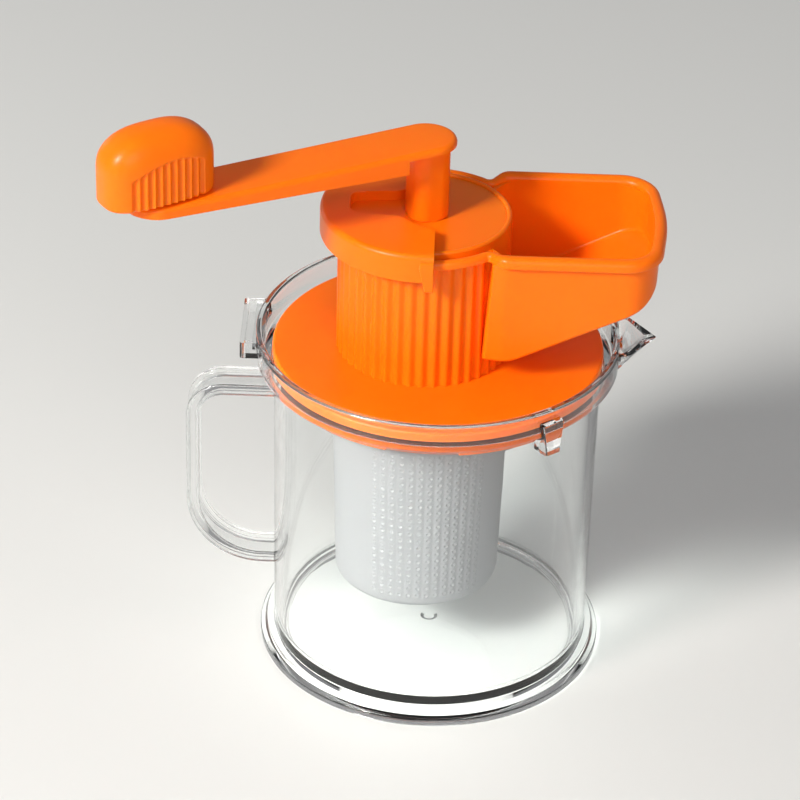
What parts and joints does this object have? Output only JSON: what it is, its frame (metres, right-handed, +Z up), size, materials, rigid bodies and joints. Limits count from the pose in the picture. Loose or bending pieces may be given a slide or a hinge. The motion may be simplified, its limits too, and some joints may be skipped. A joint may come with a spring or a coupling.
{
  "type": "hand crank blender",
  "caption": "Clear mug with a lid-mounted grinding chamber, side hopper, crank-driven drum and hanging filter basket for juice or soy milk.",
  "frame": {"origin": "on the mug's axis in the plane that the mug stands on", "axes": "+Z up, +X from the handle towards the spout and the hopper, +Y to the back when the handle is on the left"},
  "size_m": [0.1475, 0.0994, 0.1775],
  "materials": {
    "clear_plastic": "polished clear moulding",
    "orange_plastic": "polished opaque moulding",
    "white_plastic": "smooth opaque moulding",
    "frosted_plastic": "translucent natural moulding",
    "steel": "stamped and brushed"
  },
  "bodies": {
    "cup": {"cup": "clear_plastic"},
    "lid": {"lid_body": "orange_plastic", "chamber_liner": "steel"},
    "cap": {"chamber_cap": "orange_plastic"},
    "crank": {"crank_arm": "orange_plastic", "grinding_drum": "white_plastic", "drum_blade_1": "steel", "drum_blade_2": "steel", "drum_blade_3": "steel", "drum_blade_4": "steel", "drum_screw": "steel", "drum_washer": "steel"},
    "knob": {"crank_knob": "orange_plastic", "knob_screw": "steel", "knob_washer": "steel"},
    "filter": {"filter_basket": "frosted_plastic"}
  },
  "joints": [
    {"name": "lid_lift", "type": "slide", "parent": "cup", "child": "lid", "axis": [0, 0, 1], "range_m": [0, 0.09]},
    {"name": "crank_turn", "type": "hinge", "parent": "lid", "child": "crank", "pos_m": [-0.0042, 0, 0.1], "axis": [0, 0, 1], "continuous": true},
    {"name": "knob_spin", "type": "hinge", "parent": "crank", "child": "knob", "pos_m": [-0.07316, -0.03514, 0.16], "axis": [0, 0, 1], "continuous": true},
    {"name": "cap_twist", "type": "hinge", "parent": "lid", "child": "cap", "pos_m": [-0.0042, 0, 0.134], "axis": [0, 0, 1], "range_deg": [0, 22]},
    {"name": "filter_twist", "type": "hinge", "parent": "lid", "child": "filter", "pos_m": [-0.0042, 0, 0.06], "axis": [0, 0, 1], "range_deg": [0, 18]}
  ]
}
